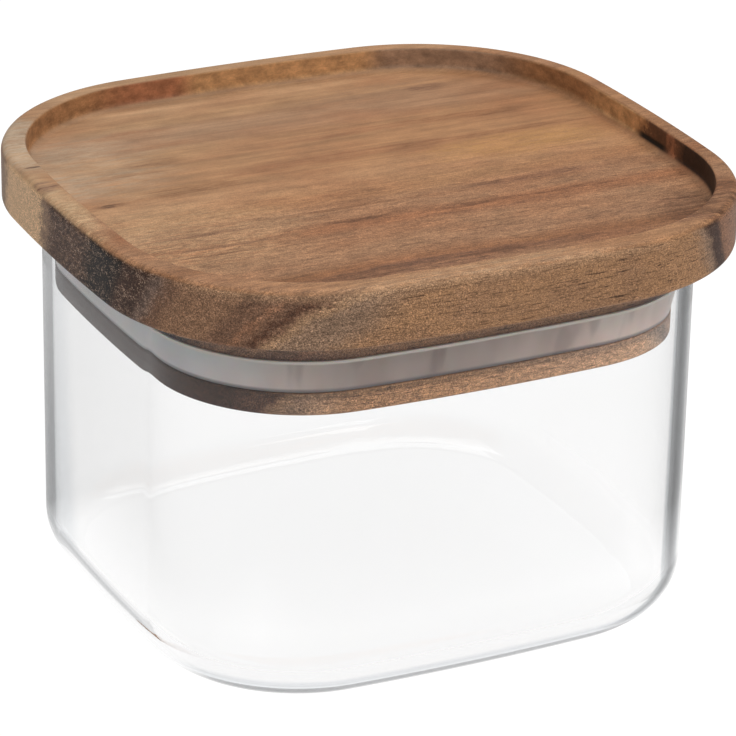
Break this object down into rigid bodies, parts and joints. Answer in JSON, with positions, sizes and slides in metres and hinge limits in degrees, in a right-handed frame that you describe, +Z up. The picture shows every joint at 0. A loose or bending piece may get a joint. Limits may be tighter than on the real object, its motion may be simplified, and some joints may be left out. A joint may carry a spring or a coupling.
{
  "type": "glass storage jar",
  "caption": "Low rounded-square glass storage jar with a lift-off wooden lid that carries a shallow tray on top and a silicone seal on its plug.",
  "frame": {"origin": "centre of the jar's flat base, on the surface it stands on", "axes": "+Z up out of the jar's mouth; X along the lid's longer side and the wood grain; -Y towards the picture's longer visible side"},
  "size_m": [0.11, 0.105, 0.0748],
  "materials": {
    "clear_glass": "clear, polished, fire-rounded rim",
    "brown_hardwood": "fine-sanded, oiled, satin",
    "translucent_silicone": "milky translucent, smooth matte"
  },
  "bodies": {
    "jar": {"glass_jar": "clear_glass"},
    "lid": {"wooden_lid": "brown_hardwood", "silicone_gasket": "translucent_silicone"}
  },
  "joints": [
    {"name": "lid_lift", "type": "slide", "parent": "jar", "child": "lid", "axis": [0, 0, 1], "range_m": [0, 0.08]}
  ]
}
